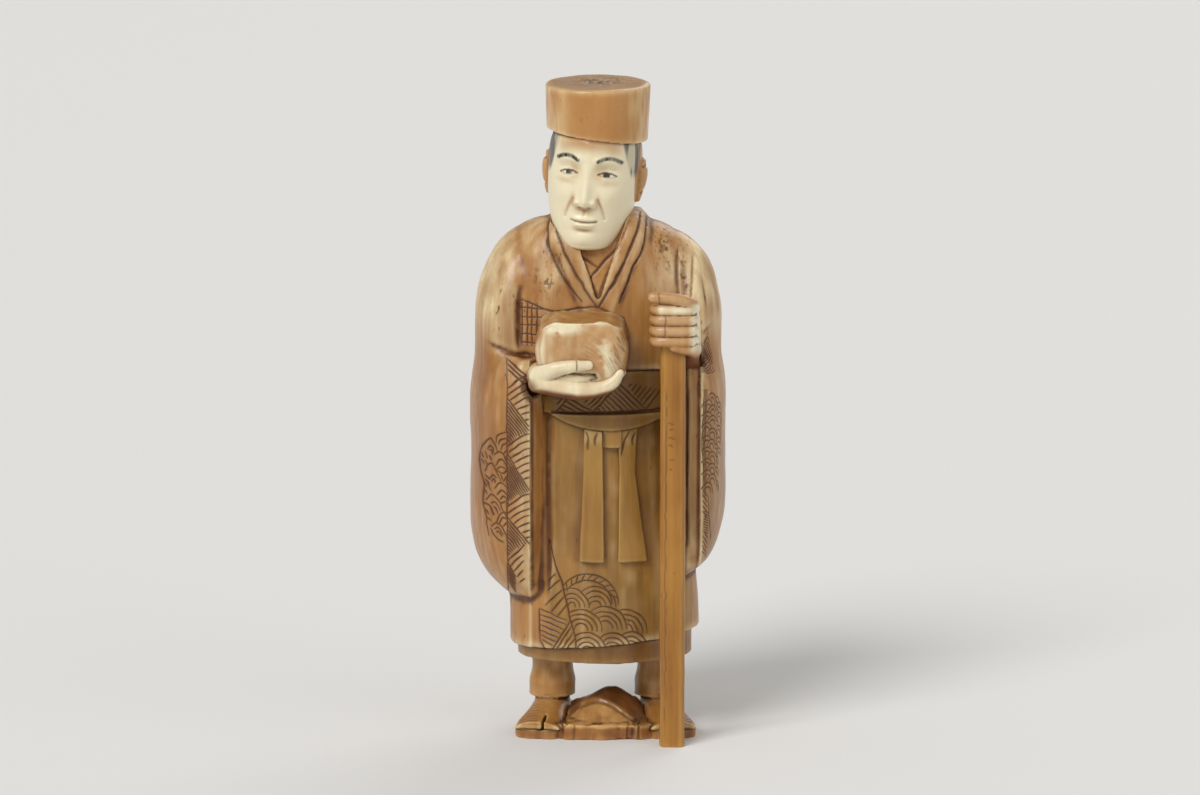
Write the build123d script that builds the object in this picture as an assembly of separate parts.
from build123d import *

import os
from math import acos, atan2, cos, degrees, hypot, radians, sin

# Standing carved figure in a wide-sleeved robe and a flat cap, with a block on the right palm and a staff
# in the left fist. Millimetres, +Z up. The figure faces -Y, so its right side is at -X.
# The origin lies on the underside of the ground slab, below the axis of the robe.

# Fits
glue_gap = 0.05
staff_gap = 0.06

# Ground slab, mound, legs and feet
slab_thickness = 1.4
slab_margin = 0.3
slab_back = 7.6
mound_half_width = 7.4
mound_half_depth = 7.6
mound_height = 5.2
mound_aside = 0.8
mound_forward = 4.2
mound_lean = 0.9
lobe_radius = 4.6
lobe_spacing = 4.2
lobe_height = 2.3
leg_height = 10.2
leg_radius = 3.3
ankle_radius = 2.7
ankle_height = 3.0
cuff_radius = 3.6
cuff_height = 2.0
cuff_edge = 0.3
right_leg_aside = -7.4
left_leg_aside = 9.0
leg_back = 0.6
foot_half_width = 3.6
foot_height = 3.4
toe_height = 1.2
heel_length = 4.0
toe_length = 11.6
foot_splay = 11.0
cleft_width = 0.45
cleft_length = 3.0
cleft_aside = 0.8

# Robe skirt and the hem that shows under it
hem_rise = 2.9
hem_tilt = 5.0
hem_half_width = 14.6
hem_half_depth = 11.9
hem_aside = 0.7
knee_half_width = 14.2
knee_half_depth = 11.7
waist_half_width = 12.6
waist_half_depth = 10.3
skirt_length = 35.6
under_inset = 1.1
plug_half_width = 8.0
plug_half_depth = 6.4
plug_height = 5.0

# Sash
obi_height = 6.4
obi_thickness = 0.9
obi_roll_thickness = 0.6
obi_droop = 2.5
obi_droop_half_width = 9.4
obi_droop_aside = 1.6
tail_thickness = 1.1
tail_width = 3.7
tail_flare = 1.0
tail_length = 20.0
right_tail_aside = -1.2
left_tail_aside = 4.9

# Chest, shoulders and upper arms
chest_height = 23.8
shoulder_drop = 18.0
chest_half_width = 19.1
chest_half_depth = 10.2
collar_half_width = 7.8
collar_half_depth = 6.2
chest_aside = -0.3
arm_seam_right = -12.2
arm_seam_left = 13.0
arm_half_width = 5.4
arm_inset = 0.4
arm_half_depth = 8.6
neckline_drop = 13.6
neckline_half_width = 5.4
neckline_depth = 0.75
neckline_slope = 14.0
lapel_width = 2.6
lapel_thickness = 0.35

# Hanging sleeves
sleeve_top_rise = 1.8
sleeve_half_depth = 11.2
sleeve_forward = 1.2
sleeve_corner = 12.0
right_sleeve_reach = 19.6
right_sleeve_half_width = 5.7
right_sleeve_turn = 14.0
right_sleeve_low = 20.2
left_sleeve_reach = 19.2
left_sleeve_half_width = 4.2
left_sleeve_turn = 7.0
left_sleeve_low = 24.0
left_wrist_drop = 2.6
wrist_forward = 4.4

# Head, with the heights of the face counted up from the chin, and cap
head_aside = -0.8
head_forward = 2.4
chin_rise = -4.4
head_roll = 4.5
head_yaw = -8.0
head_height = 21.5
head_half_width = 7.1
head_half_depth = 8.3
crown_half_width = 6.0
crown_half_depth = 7.0
chin_half_width = 1.6
chin_half_depth = 1.5
jaw_fullness = 0.7
face_front = 8.8
chin_front = 7.5
cheek_rise = 13.4
eye_rise = 11.7
eye_aside = 3.0
eye_radius = 2.0
socket_radius = 3.0
socket_depth = 0.7
nose_base_rise = 6.9
nose_length = 5.4
nose_width = 3.2
nose_reach = 1.7
ear_height = 6.6
ear_width = 3.2
ear_thickness = 1.6
neck_radius = 4.3
neck_forward = 1.2
neck_depth = 6.5
neck_reach = 9.0
cap_height = 7.6
cap_half_width = 7.9
cap_half_depth = 9.1
cap_flare = 0.25
cap_edge = 0.5
cap_rim_tilt = 3.0
brim_rise = 16.8

# Staff and left fist
staff_width = 3.75
staff_edge = 0.6
staff_inset = 8.3
staff_forward = 14.6
staff_proud = 0.7
fist_rise = 2.2
finger_thickness = 1.85
finger_pitch = 2.1
finger_edge = 0.9
finger_reaches = (0.86, 0.98, 1.0, 0.92)
fist_thumb_radius = 0.95
knuckle_swell = 1.04
palm_thickness = 3.2
hand_back_thickness = 2.6
hand_back_edge = 1.2
fist_corner = 1.9
wrist_radius = 2.4
tenon_radius = 1.5

# Right hand and the block on it
palm_rise = -2.4
palm_half_depth = 4.4
palm_half_height = 1.9
palm_length = 8.6
right_finger_radius = 0.95
right_finger_curl = 1.5
hand_length = 13.6
hand_forward = 12.6
hand_inset = 9.2
thumb_radius = 1.25
block_width = 13.6
block_depth = 9.4
block_height = 9.8
block_along = 7.7
block_edge = 1.8
block_seat = 0.6

# Dowels
neck_peg_radius = 1.2
neck_peg_length = 8.0
small_peg_radius = 0.8
small_peg_length = 4.0
sleeve_peg_radius = 1.1
sleeve_peg_length = 6.0

# Heights and places that follow from the sizes above
slab_top = slab_thickness
under_hem_z = slab_top + leg_height
hem_z = under_hem_z + hem_rise
obi_low_z = hem_z + skirt_length
obi_high_z = obi_low_z + obi_height
collar_z = obi_high_z + chest_height
chest_z = collar_z - shoulder_drop
chin_z = collar_z + chin_rise
fist_low_z = obi_high_z + fist_rise
fist_high_z = fist_low_z + len(finger_reaches) * finger_pitch
palm_z = obi_high_z + palm_rise
hand_start = hand_inset - right_sleeve_reach
staff_aside = left_sleeve_reach - staff_inset
staff_length = fist_high_z + staff_proud

# Longer than anything here, for cuts that go right through
through = 4 * collar_z


def oval(z, half_width, half_depth, aside=0.0, forward=0.0, turn=0.0):
    # One level oval section of a loft.
    return Pos(aside, -forward, z) * Rot(0, 0, turn) * Ellipse(half_width, half_depth)


def limb(points, radii):
    # A tapering stick through a few points, a little thicker at each knuckle.
    shape = Pos(*points[0]) * Sphere(radii[0] * knuckle_swell)
    for first, second, first_radius, second_radius in zip(points, points[1:], radii, radii[1:]):
        along = Vector(*second) - Vector(*first)
        place = Plane(origin=(Vector(*first) + Vector(*second)) * 0.5, z_dir=along)
        if first_radius == second_radius:
            stick = Cylinder(first_radius, along.length)
        else:
            stick = Cone(first_radius, second_radius, along.length)
        shape += place * stick
        shape += Pos(*second) * Sphere(second_radius * knuckle_swell)
    return shape


def between(x_low, x_high):
    # The space between two upright planes, to saw a form along its seams.
    return Pos((x_low + x_high) / 2, 0, 0) * Box(x_high - x_low, through, through)


def layer(z_low, z_high):
    # The space between two levels.
    return Pos(0, 0, (z_low + z_high) / 2) * Box(through, through, z_high - z_low)


def in_front():
    return Pos(0, -through / 2, 0) * Box(through, through, through)


def dowel(place, radius, length):
    # A round dowel half in each of two pieces that meet at a place.
    point, direction = place
    return Plane(origin=point, z_dir=direction) * Cylinder(radius, length)


def dowel_bore(place, radius, length):
    return dowel(place, radius + glue_gap, length + 2 * glue_gap)


def skirt(grow=0.0):
    # Robe from the under hem to the top of the sash.
    knee_z = hem_z + skirt_length * 0.35
    sections = [
        oval(under_hem_z, hem_half_width + grow, hem_half_depth + grow, hem_aside),
        oval(knee_z, knee_half_width + grow, knee_half_depth + grow, hem_aside * 0.6),
        oval(obi_low_z, waist_half_width + grow, waist_half_depth + grow),
        oval(obi_high_z, waist_half_width + grow, waist_half_depth + grow),
    ]
    return loft(sections)


def shoulder_step(angle):
    # Height, half width and half depth of the shoulders at one step round a quarter oval.
    swell = sin(radians(angle))
    z = collar_z - shoulder_drop * (1 - cos(radians(angle)))
    wide = collar_half_width + (chest_half_width - collar_half_width) * swell
    deep = collar_half_depth + (chest_half_depth - collar_half_depth) * swell
    return z, wide, deep


def shoulders(grow=0.0):
    # Chest and shoulders together, down to the sash.
    sections = [oval(obi_high_z, chest_half_width + grow, chest_half_depth + grow, chest_aside)]
    for angle in (90, 72, 54, 38, 24, 12, 0):
        z, wide, deep = shoulder_step(angle)
        sections.append(oval(z, wide + grow, deep + grow, chest_aside))
    return loft(sections)


def chest_block():
    return shoulders() & between(arm_seam_right, arm_seam_left)


def upper_arm(side):
    # The arm inside its sleeve swells out of the shoulder, with a fold where it leaves the chest.
    middle = chest_aside + side * (chest_half_width - arm_inset - arm_half_width)
    sections = [oval(obi_high_z, arm_half_width, arm_half_depth, middle)]
    for angle in (90, 60, 35):
        z, wide, deep = shoulder_step(angle)
        swell = sin(radians(angle))
        half_width = arm_half_width * (0.55 + 0.45 * swell)
        aside = chest_aside + side * (wide - arm_inset - half_width)
        sections.append(oval(z, half_width, arm_half_depth * swell, aside))
    return loft(sections)


def drape(side, reach, half_width, turn, low_z):
    # One hanging sleeve: ovals turned so that the front edge leans in, with a rounded lower outer corner.
    high_z = obi_high_z + sleeve_top_rise
    corner_z = low_z + sleeve_corner
    inner = reach - 2 * half_width
    sections = []
    for angle in (8, 30, 55, 90):
        swell = sin(radians(angle))
        z = low_z + sleeve_corner * (1 - cos(radians(angle)))
        wide = half_width * (0.2 + 0.8 * swell)
        deep = sleeve_half_depth * (0.35 + 0.65 * swell)
        sections.append(oval(z, wide, deep, side * (inner + wide), sleeve_forward, -side * turn))
    for share, size in ((0.55, 1.0), (0.85, 0.97), (1.0, 0.8)):
        z = corner_z + share * (high_z - corner_z)
        wide = half_width * size
        deep = sleeve_half_depth * size
        sections.append(oval(z, wide, deep, side * (reach - half_width), sleeve_forward, -side * turn))
    return loft(sections)


def foot_outline(aside, side):
    length = heel_length + toe_length + 2 * slab_margin
    width = 2 * (foot_half_width + slab_margin)
    shape = Pos(0, (heel_length - toe_length) / 2) * RectangleRounded(width, length, foot_half_width * 0.8)
    return Pos(aside, leg_back) * Rot(0, 0, side * foot_splay) * shape


def build_ground():
    # Slab with lobes in front and under the feet, and a mound that rises between them.
    outline = foot_outline(right_leg_aside, -1) + foot_outline(left_leg_aside, 1)
    lobe_y = -mound_forward - mound_half_depth + lobe_radius
    outline += Pos(mound_aside, -mound_forward) * Ellipse(mound_half_width, mound_half_depth)
    stance = left_leg_aside - right_leg_aside
    outline += Pos((left_leg_aside + right_leg_aside) / 2, 0) * Ellipse(stance / 2, slab_back)
    slab = extrude(outline, slab_thickness)
    for step in (-1, 0, 1):
        lobe = Pos(mound_aside + step * lobe_spacing, lobe_y) * Circle(lobe_radius)
        slab += extrude(lobe, lobe_height)
    sections = []
    for share, size in ((-0.1, 0.97), (0.3, 0.74), (0.62, 0.48), (0.88, 0.26), (1.0, 0.1)):
        z = slab_top + mound_height * share
        lean = mound_lean * max(share, 0)
        aside, forward = mound_aside + lean, mound_forward - lean
        sections.append(oval(z, mound_half_width * size, mound_half_depth * size, aside, forward))
    return slab + loft(sections)


def build_leg(aside, side):
    # Leg and cuff turned about the leg's axis, and a foot lofted from heel to toe, split at the big toe.
    cuff_low = slab_top + ankle_height
    outline = Polyline(
        (0, slab_top),
        (ankle_radius, slab_top),
        (ankle_radius, cuff_low),
        (cuff_radius, cuff_low + cuff_edge),
        (leg_radius, cuff_low + cuff_height),
        (leg_radius, under_hem_z),
        (0, under_hem_z),
        close=True,
    )
    leg = revolve(make_face(Plane.XZ * outline), Axis.Z)
    stations = [
        (heel_length, 0.62, 0.66),
        (heel_length * 0.4, 0.86, 1.0),
        (-toe_length * 0.3, 0.92, 0.95),
        (-toe_length * 0.68, 1.02, 0.62),
        (-toe_length, 0.94, toe_height / foot_height),
    ]
    sections = []
    for along, wide, tall in stations:
        plane = Plane(origin=(0, along, slab_top), x_dir=(1, 0, 0), z_dir=(0, -1, 0))
        sections.append(plane * Ellipse(foot_half_width * wide, foot_height * tall))
    foot = loft(sections) & layer(slab_top, under_hem_z)
    cleft = Pos(-side * cleft_aside, -toe_length + cleft_length / 2, slab_top + foot_height / 2)
    foot -= cleft * Box(cleft_width, cleft_length, foot_height)
    return Pos(aside, leg_back, 0) * (leg + Rot(0, 0, side * foot_splay) * foot)


def hem_saw():
    # Everything under the tilted hem line of the outer robe.
    return Pos(0, 0, hem_z) * Rot(0, -hem_tilt, 0) * layer(-through, 0)


def plug(grow=0.0):
    outline = Pos(0, 0, under_hem_z) * Ellipse(plug_half_width + grow, plug_half_depth + grow)
    return extrude(outline, hem_rise + plug_height + grow)


def build_under_robe():
    # The inner hem, with a plug that goes up into the robe.
    return (skirt(-under_inset) & hem_saw()) + plug()


def neckline_plane():
    apex_z = collar_z - neckline_drop
    apex_y = -chest_half_depth + neckline_depth
    slope = radians(neckline_slope)
    return Plane(origin=(chest_aside, apex_y, apex_z), x_dir=(1, 0, 0), z_dir=(0, -cos(slope), sin(slope)))


def neckline_cut():
    outline = Polyline(
        (0, 0),
        (neckline_half_width, neckline_drop * 1.2),
        (-neckline_half_width, neckline_drop * 1.2),
        close=True,
    )
    return extrude(neckline_plane() * make_face(outline), chest_half_depth)


def lapels():
    # Raised collar bands either side of the neck opening: a skin over the chest cut to two crossing strips.
    skin = (shoulders(lapel_thickness) - shoulders()) & between(arm_seam_right, arm_seam_left)
    lean = degrees(atan2(neckline_half_width, neckline_drop))
    length = hypot(neckline_half_width, neckline_drop) + lapel_width
    strips = Sketch()
    for side in (-1, 1):
        strip = Pos(side * lapel_width / 2, length / 2 - lapel_width) * Rectangle(lapel_width, length)
        strips += Rot(0, 0, -side * lean) * strip
    return skin & extrude(neckline_plane() * strips, chest_half_depth / 2)


def build_robe(head):
    # Skirt and chest, with a pocket for the plug below and a socket for the neck above.
    body = skirt() - hem_saw() + chest_block()
    body += lapels()
    body -= plug(glue_gap)
    body -= neckline_cut()
    return body - head


def build_obi():
    # Two half bands, the front one with a rolled lower edge that droops in the middle.
    ring = (skirt(obi_thickness) & layer(obi_low_z, obi_high_z)) - skirt()
    left_end = (obi_droop_aside - obi_droop_half_width, obi_low_z)
    right_end = (obi_droop_aside + obi_droop_half_width, obi_low_z)
    sag = ThreePointArc(left_end, (obi_droop_aside, obi_low_z - obi_droop), right_end)
    crescent = make_face(Plane.XZ * (sag + Line(right_end, left_end)))
    roll = (skirt(obi_thickness + obi_roll_thickness) - skirt()) & extrude(crescent, through / 2)
    front = (ring & in_front()) + roll
    back = ring - in_front()
    return front, back


def build_tail(aside, side, obi_front):
    # A hanging sash end that widens to one side.
    low_z = obi_low_z - obi_droop - tail_length
    outline = Polyline(
        (aside - tail_width / 2, obi_low_z),
        (aside + tail_width / 2, obi_low_z),
        (aside + tail_width / 2 + max(side, 0) * tail_flare, low_z),
        (aside - tail_width / 2 + min(side, 0) * tail_flare, low_z),
        close=True,
    )
    prism = extrude(Plane.XZ * make_face(outline), through / 2)
    return ((skirt(tail_thickness) - skirt()) & prism) - obi_front


def build_sleeve(side, seam, hanging):
    # Shoulder and upper arm outside the seam, and the hanging cloth that lies against the skirt.
    outside = between(-through, seam) if side < 0 else between(seam, through)
    cloth = upper_arm(side) + hanging - chest_block() - skirt()
    return (shoulders() & outside) + cloth


def head_place():
    # The head rolls and turns about its own middle.
    middle = Pos(head_aside, -head_forward, chin_z + head_height / 2)
    return middle * Rot(0, head_roll, head_yaw) * Pos(0, 0, -head_height / 2)


def face_step(angle):
    # Height above the chin, half width, half depth and front of the face at one step round a quarter oval.
    swell = sin(radians(angle)) ** jaw_fullness
    z = cheek_rise * (1 - cos(radians(angle)))
    wide = chin_half_width + (head_half_width - chin_half_width) * swell
    deep = chin_half_depth + (head_half_depth - chin_half_depth) * swell
    front = chin_front + (face_front - chin_front) * swell
    return z, wide, deep, front


def face_depth(rise, aside):
    # How far the face stands in front of the head's axis.
    z, wide, deep, front = face_step(degrees(acos(1 - rise / cheek_rise)))
    return front - deep + deep * (1 - (aside / wide) ** 2) ** 0.5


def skull():
    sections = []
    for angle in (0, 10, 22, 36, 52, 70, 90):
        z, wide, deep, front = face_step(angle)
        sections.append(oval(z, wide, deep, 0, front - deep))
    sections.append(oval(head_height, crown_half_width, crown_half_depth, 0, face_front - head_half_depth))
    return loft(sections)


def nose():
    sections = []
    stations = [(1.0, 0.22, 0.6, 0.15), (0.5, 0.3, 0.8, 0.45), (0.16, 0.5, 1.0, 1.0), (0.0, 0.42, 0.7, 0.6)]
    for share, wide, deep, proud in stations:
        z = nose_base_rise + nose_length * share
        forward = face_depth(z, 0) + nose_reach * (proud - deep)
        sections.append(oval(z, nose_width * wide, nose_reach * deep, 0, forward))
    return loft(sections)


def ear(side):
    sections = []
    stations = [(1.0, 0.4, 0.3, 0.97), (0.72, 0.6, 0.5, 1.0), (0.3, 0.55, 0.42, 0.97), (0, 0.4, 0.22, 0.92)]
    for share, wide, deep, out in stations:
        z = nose_base_rise + ear_height * share
        sections.append(oval(z, ear_thickness * wide, ear_width * deep, side * head_half_width * out))
    return loft(sections)


def build_head():
    # Face, ears and neck. The lids swell inside shallow hollows.
    form = skull()
    for side in (-1, 1):
        front = face_depth(eye_rise, eye_aside)
        hollow_y = -front - socket_radius + socket_depth
        form -= Pos(side * eye_aside, hollow_y, eye_rise) * Sphere(socket_radius)
        form += Pos(side * eye_aside, eye_radius + socket_depth / 2 - front, eye_rise) * Sphere(eye_radius)
        form += ear(side)
    form += nose()
    neck = Pos(head_aside, -neck_forward, collar_z - neck_depth) * Circle(neck_radius)
    return head_place() * form + extrude(neck, chin_z + neck_reach - collar_z + neck_depth)


def cap_top_place():
    rim = head_place() * Pos(0, 0, brim_rise)
    return Pos(rim.position.X, rim.position.Y, chin_z + brim_rise + cap_height)


def build_cap(head):
    # A slanting rim under a level top, hollowed to sit on the head.
    top = cap_top_place() * Rot(0, 0, head_yaw) * Ellipse(cap_half_width, cap_half_depth)
    cap = extrude(top, -2 * cap_height, taper=degrees(atan2(cap_flare, cap_height)))
    cap -= head_place() * Pos(0, 0, brim_rise) * Rot(0, cap_rim_tilt, 0) * layer(-through, 0)
    cap = fillet(cap.faces().sort_by(Axis.Z)[-1].edges(), cap_edge)
    return cap - head


def staff_bar(side_gap, length):
    section = Rectangle(staff_width + 2 * side_gap, staff_width + 2 * side_gap)
    section = chamfer(section.vertices(), staff_edge)
    return extrude(Pos(staff_aside, -staff_forward, 0) * section, length)


def fist_space():
    # Left, right, front and back of the closed fist round the staff.
    half = staff_width / 2 + staff_gap
    around = half + finger_thickness
    back_y = half + palm_thickness - staff_forward
    return staff_aside - around, staff_aside + around, -staff_forward - around, back_y


def build_left_hand():
    # Each finger is a rounded bar bent round the staff, the back of the hand closes them on the outer side
    # and the thumb lies across the top.
    left_x, right_x, front_y, back_y = fist_space()
    height = fist_high_z - fist_low_z - finger_edge
    middle_y = (front_y + back_y) / 2
    hand_back = Box(hand_back_thickness, back_y - front_y - finger_edge, height)
    hand_back = fillet(hand_back.edges(), hand_back_edge)
    hand = Pos(right_x - finger_edge, middle_y, (fist_low_z + fist_high_z) / 2) * hand_back
    for index, reach in enumerate(finger_reaches):
        finger_front = front_y + finger_thickness * (1 - reach)
        middle = Pos((left_x + right_x) / 2, (finger_front + back_y) / 2, fist_low_z + finger_pitch * index)
        outline = RectangleRounded(right_x - left_x, back_y - finger_front, fist_corner)
        finger = extrude(outline, finger_pitch)
        rims = finger.edges().group_by(Axis.Z)[0] + finger.edges().group_by(Axis.Z)[-1]
        hand += middle * fillet(rims, finger_edge)
    thumb_z = fist_high_z + fist_thumb_radius * 0.6
    root = (right_x - fist_thumb_radius, -staff_forward, thumb_z - fist_thumb_radius * 0.4)
    joint = (right_x - fist_thumb_radius, front_y + fist_thumb_radius, thumb_z)
    tip = (left_x + fist_thumb_radius * 1.6, front_y + fist_thumb_radius, thumb_z)
    return hand + limb([root, joint, tip], [fist_thumb_radius * size for size in (1.1, 1, 0.9)])


def left_wrist():
    left_x, right_x, front_y, back_y = fist_space()
    start = (right_x - wrist_radius * 0.5, back_y - palm_thickness * 0.3, fist_low_z + finger_pitch)
    end_x = left_sleeve_reach - left_sleeve_half_width
    end = (end_x, -sleeve_forward - wrist_forward, obi_high_z - left_wrist_drop)
    return start, end


def build_right_hand():
    # Open palm turned up, fingers towards +X and curling up at their tips, thumb along the front edge.
    sections = []
    for share, deep, tall, lift in ((0, 0.52, 1.1, 0.1), (0.45, 0.88, 1.15, -0.05), (1, 0.92, 0.7, 0.05)):
        origin = (hand_start + palm_length * share, -hand_forward, palm_z + palm_half_height * lift)
        plane = Plane(origin=origin, x_dir=(0, 1, 0), z_dir=(1, 0, 0))
        sections.append(plane * Ellipse(palm_half_depth * deep, palm_half_height * tall))
    hand = loft(sections)
    root_x = hand_start + palm_length * 0.9
    span = hand_length - palm_length
    for index, reach in enumerate((0.9, 1.0, 0.96, 0.78)):
        y = -hand_forward + palm_half_depth * (index - 1.5) * 0.45
        root = (root_x, y, palm_z)
        middle = (hand_start + palm_length + span * reach * 0.5, y, palm_z + right_finger_curl * 0.3)
        tip = (hand_start + palm_length + span * reach, y, palm_z + right_finger_curl)
        hand += limb([root, middle, tip], [right_finger_radius * size for size in (1.1, 1, 0.85)])
    thumb_y = -hand_forward - palm_half_depth * 0.72
    thumb_root = (hand_start + palm_length * 0.2, thumb_y + thumb_radius * 0.7, palm_z + thumb_radius * 1.1)
    joint = (hand_start + palm_length * 0.7, thumb_y, palm_z + thumb_radius * 1.8)
    thumb_tip = (hand_start + palm_length * 1.1, thumb_y, palm_z + thumb_radius * 2.1)
    return hand + limb([thumb_root, joint, thumb_tip], [thumb_radius * size for size in (1.15, 1, 0.85)])


def right_wrist():
    start = (hand_start + wrist_radius, -hand_forward, palm_z)
    end = (right_sleeve_half_width - right_sleeve_reach, -sleeve_forward - wrist_forward, palm_z)
    return start, end


def fit_hand(hand, wrist, sleeve):
    # The wrist butts on the sleeve and carries a round tenon into it.
    start, end = Vector(*wrist[0]), Vector(*wrist[1])
    way = end - start
    butt = (hand + limb(wrist, [wrist_radius, wrist_radius])) - sleeve
    butt = butt.solids().sort_by(SortBy.VOLUME)[-1]
    place = ((start + end) * 0.5, way)
    tenon = dowel(place, tenon_radius, way.length)
    return butt + tenon, sleeve - dowel_bore(place, tenon_radius, way.length)


def block_place():
    return Pos(hand_start + block_along, -hand_forward, palm_z + block_seat)


def build_block():
    # A rounded block that bellies out above its seat and narrows again to a flat top.
    sections = []
    for share, size, edge in ((0, 0.74, 1.0), (0.4, 1.0, 1.4), (1.0, 0.9, 1.0)):
        outline = RectangleRounded(block_width * size, block_depth * size, block_edge * edge)
        sections.append(block_place() * Pos(0, 0, block_height * share) * outline)
    return loft(sections)


def sleeve_peg_places(side, seam, low_z):
    # One dowel in the shoulder and one in the hip.
    hip_x = side * (knee_half_width + waist_half_width) / 2
    return [((seam, 0, chest_z), (1, 0, 0)), ((hip_x, 0, (low_z + obi_low_z) / 2), (1, 0, 0))]


def write_parts():
    up = (0, 0, 1)
    right_leg = build_leg(right_leg_aside, -1)
    left_leg = build_leg(left_leg_aside, 1)
    ground = build_ground() - right_leg - left_leg
    under_robe = build_under_robe()
    head = build_head()
    robe = build_robe(head)
    cap = build_cap(head)
    obi_front, obi_back = build_obi()
    right_tail = build_tail(right_tail_aside, -1, obi_front)
    left_tail = build_tail(left_tail_aside, 1, obi_front)
    cloth = drape(-1, right_sleeve_reach, right_sleeve_half_width, right_sleeve_turn, right_sleeve_low)
    right_sleeve = build_sleeve(-1, arm_seam_right, cloth) - obi_front - obi_back
    cloth = drape(1, left_sleeve_reach, left_sleeve_half_width, left_sleeve_turn, left_sleeve_low)
    left_sleeve = build_sleeve(1, arm_seam_left, cloth) - obi_front - obi_back
    left_hand, left_sleeve = fit_hand(build_left_hand(), left_wrist(), left_sleeve)
    left_hand = left_hand - robe - staff_bar(staff_gap, through)
    right_hand, right_sleeve = fit_hand(build_right_hand(), right_wrist(), right_sleeve)
    right_hand = right_hand - robe - obi_front
    block = build_block() - right_hand - robe - obi_front
    staff = staff_bar(0, staff_length)

    # Hidden dowels, each with a bore in both of the pieces that it joins
    neck_place = ((head_aside, -neck_forward, collar_z - neck_depth), up)
    robe -= dowel_bore(neck_place, neck_peg_radius, neck_peg_length)
    head -= dowel_bore(neck_place, neck_peg_radius, neck_peg_length)
    crown = cap_top_place().position
    cap_place = ((crown.X, crown.Y, chin_z + head_height), up)
    cap -= dowel_bore(cap_place, small_peg_radius, small_peg_length)
    head -= dowel_bore(cap_place, small_peg_radius, small_peg_length)
    seat = block_place().position
    block_peg_place = ((seat.X, seat.Y, palm_z + palm_half_height * 0.7), up)
    block -= dowel_bore(block_peg_place, small_peg_radius, small_peg_length)
    right_hand -= dowel_bore(block_peg_place, small_peg_radius, small_peg_length)

    sleeve_pegs = []
    for place in sleeve_peg_places(-1, arm_seam_right, right_sleeve_low):
        bore = dowel_bore(place, sleeve_peg_radius, sleeve_peg_length)
        right_sleeve, robe = right_sleeve - bore, robe - bore
        sleeve_pegs.append(dowel(place, sleeve_peg_radius, sleeve_peg_length))
    for place in sleeve_peg_places(1, arm_seam_left, left_sleeve_low):
        bore = dowel_bore(place, sleeve_peg_radius, sleeve_peg_length)
        left_sleeve, robe = left_sleeve - bore, robe - bore
        sleeve_pegs.append(dowel(place, sleeve_peg_radius, sleeve_peg_length))

    leg_places = [((aside, leg_back, under_hem_z), up) for aside in (right_leg_aside, left_leg_aside)]
    foot_z = slab_top * 0.4 + small_peg_length / 2
    foot_places = [((aside, leg_back, foot_z), up) for aside in (right_leg_aside, left_leg_aside)]
    for place in leg_places + foot_places:
        bore = dowel_bore(place, small_peg_radius, small_peg_length)
        right_leg, left_leg = right_leg - bore, left_leg - bore
        under_robe, ground = under_robe - bore, ground - bore

    parts = {
        "ground_base": ground,
        "right_leg": right_leg,
        "left_leg": left_leg,
        "under_robe": under_robe,
        "robe_body": robe,
        "right_sleeve": right_sleeve,
        "left_sleeve": left_sleeve,
        "obi_front": obi_front,
        "obi_back": obi_back,
        "right_sash_tail": right_tail,
        "left_sash_tail": left_tail,
        "head": head,
        "cap": cap,
        "right_hand": right_hand,
        "carried_block": block,
        "left_hand": left_hand,
        "staff": staff,
        "neck_peg": dowel(neck_place, neck_peg_radius, neck_peg_length),
        "cap_peg": dowel(cap_place, small_peg_radius, small_peg_length),
        "block_peg": dowel(block_peg_place, small_peg_radius, small_peg_length),
        "sleeve_pegs": Compound(sleeve_pegs),
        "leg_pegs": Compound([dowel(place, small_peg_radius, small_peg_length) for place in leg_places]),
        "foot_pegs": Compound([dowel(place, small_peg_radius, small_peg_length) for place in foot_places]),
    }
    os.makedirs("parts", exist_ok=True)
    for name, shape in parts.items():
        print(name, len(shape.solids()), round(shape.volume, 2))
        export_step(shape, f"parts/{name}.step")


write_parts()
